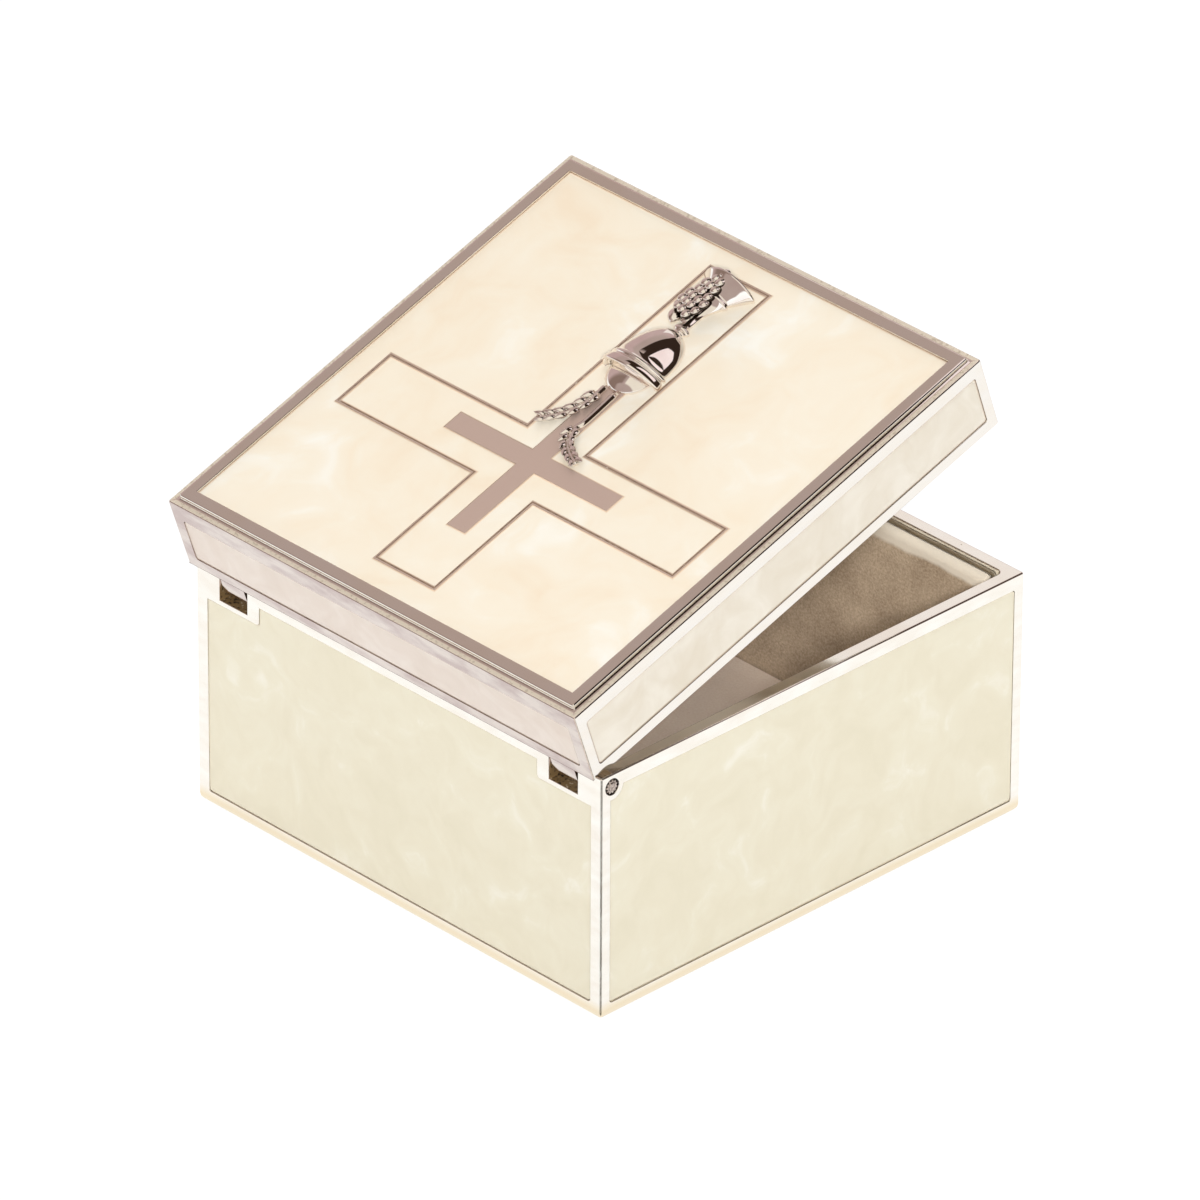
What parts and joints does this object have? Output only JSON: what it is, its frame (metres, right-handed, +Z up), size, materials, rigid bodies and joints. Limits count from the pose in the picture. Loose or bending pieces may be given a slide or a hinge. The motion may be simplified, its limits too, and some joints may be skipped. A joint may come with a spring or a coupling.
{
  "type": "keepsake box",
  "caption": "Square keepsake box of plated metal with pearl enamel panels, a hinged lid bearing a cross and a chalice in relief, and a flocked lining.",
  "frame": {"origin": "middle of the underside of the base felt, on the surface that the box stands on", "axes": "+Z up, +Y towards the hinge at the back, -Y towards the opening side, +X along the hinge"},
  "size_m": [0.077, 0.0801, 0.0729],
  "materials": {
    "plated_casting": "polished die casting with a warm silver plate, slightly rippled",
    "bright_emblem": "mirror-bright silver plate on small relief castings",
    "pin_steel": "plated steel pin with a knurled head",
    "pearl_enamel": "glossy cold enamel, ivory with pearl swirls",
    "flock_lining": "short grey-beige flock",
    "base_felt": "grey-beige felt"
  },
  "bodies": {
    "box": {"box_body": "plated_casting", "enamel_front": "pearl_enamel", "enamel_right": "pearl_enamel", "enamel_back": "pearl_enamel", "enamel_left": "pearl_enamel", "lining_front": "flock_lining", "lining_right": "flock_lining", "lining_back": "flock_lining", "lining_left": "flock_lining", "lining_floor": "flock_lining", "base_felt": "base_felt", "hinge_pin_left": "pin_steel", "hinge_pin_right": "pin_steel"},
    "lid": {"lid_shell": "plated_casting", "lid_enamel_front": "pearl_enamel", "lid_enamel_right": "pearl_enamel", "lid_enamel_back": "pearl_enamel", "lid_enamel_left": "pearl_enamel", "lid_enamel_field": "pearl_enamel", "lid_enamel_cross": "pearl_enamel", "lid_lining_ceiling": "flock_lining", "lid_lining_band": "flock_lining", "chalice": "bright_emblem", "host": "bright_emblem", "grape_cluster": "bright_emblem", "wheat_ear_left": "bright_emblem", "wheat_ear_right": "bright_emblem"}
  },
  "joints": [
    {"name": "lid_hinge", "type": "hinge", "parent": "box", "child": "lid", "pos_m": [0, 0.0361, 0.03457], "axis": [-1, 0, 0], "range_deg": [-18.5, 76.5]}
  ]
}
